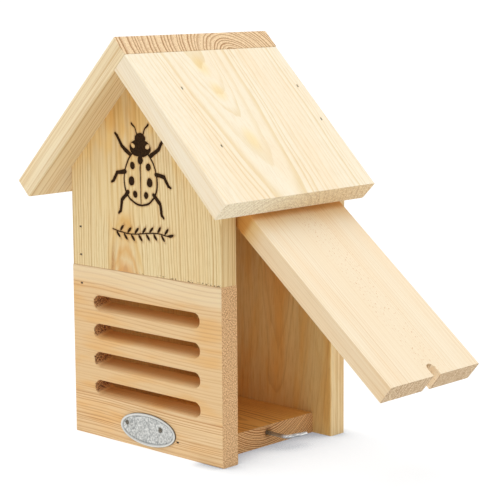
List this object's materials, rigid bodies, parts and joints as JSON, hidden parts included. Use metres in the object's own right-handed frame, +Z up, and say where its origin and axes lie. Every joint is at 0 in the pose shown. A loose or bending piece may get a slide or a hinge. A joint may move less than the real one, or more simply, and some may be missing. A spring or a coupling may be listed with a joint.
{
  "type": "ladybug house",
  "caption": "Small gabled nest box of planed pine with level entrance slots in front, a lapped roof, a top-hung side door and a turning screw-hook latch.",
  "frame": {"origin": "middle of the floor board's underside, on the ground under the house", "axes": "+Z up; the slotted front faces -Y and the flat back +Y; the side door is on +X"},
  "size_m": [0.2502, 0.1205, 0.2321],
  "materials": {
    "gable_pine": "planed pine, unfinished, straw yellow",
    "slotted_pine": "planed pine, unfinished, warm orange",
    "shade_pine": "planed pine, unfinished",
    "floor_pine": "planed pine, unfinished, darker heartwood",
    "roof_pine": "planed pine, unfinished, pale sapwood",
    "door_pine": "planed pine, unfinished, pale sapwood",
    "nail_steel": "plain wire nail, dull",
    "hook_zinc": "zinc-plated steel wire",
    "plate_zinc": "galvanised sheet, mottled",
    "brad_steel": "dull wire brad"
  },
  "bodies": {
    "house": {"front_gable_board": "gable_pine", "front_slotted_board": "slotted_pine", "back_board": "shade_pine", "left_wall": "shade_pine", "floor_board": "floor_pine", "roof_board_left": "roof_pine", "roof_board_right": "roof_pine", "door_pivot_nail_front": "nail_steel", "door_pivot_nail_back": "nail_steel", "oval_plate": "plate_zinc", "plate_nails": "nail_steel", "roof_left_brads": "brad_steel", "roof_right_brads": "brad_steel", "ridge_brads": "brad_steel", "gable_board_brads": "brad_steel", "slotted_board_brads": "brad_steel", "back_board_brads": "brad_steel", "left_wall_brads": "brad_steel"},
    "door": {"side_door": "door_pine"},
    "latch": {"latch_hook": "hook_zinc"}
  },
  "joints": [
    {"name": "door_hinge", "type": "hinge", "parent": "house", "child": "door", "pos_m": [0.054, 0, 0.142], "axis": [0, -1, 0], "range_deg": [-51.8, 12]},
    {"name": "latch_turn", "type": "hinge", "parent": "house", "child": "latch", "pos_m": [0.0458, 0.0005, 0.0075], "axis": [1, 0, 0], "range_deg": [-86, 94]}
  ]
}
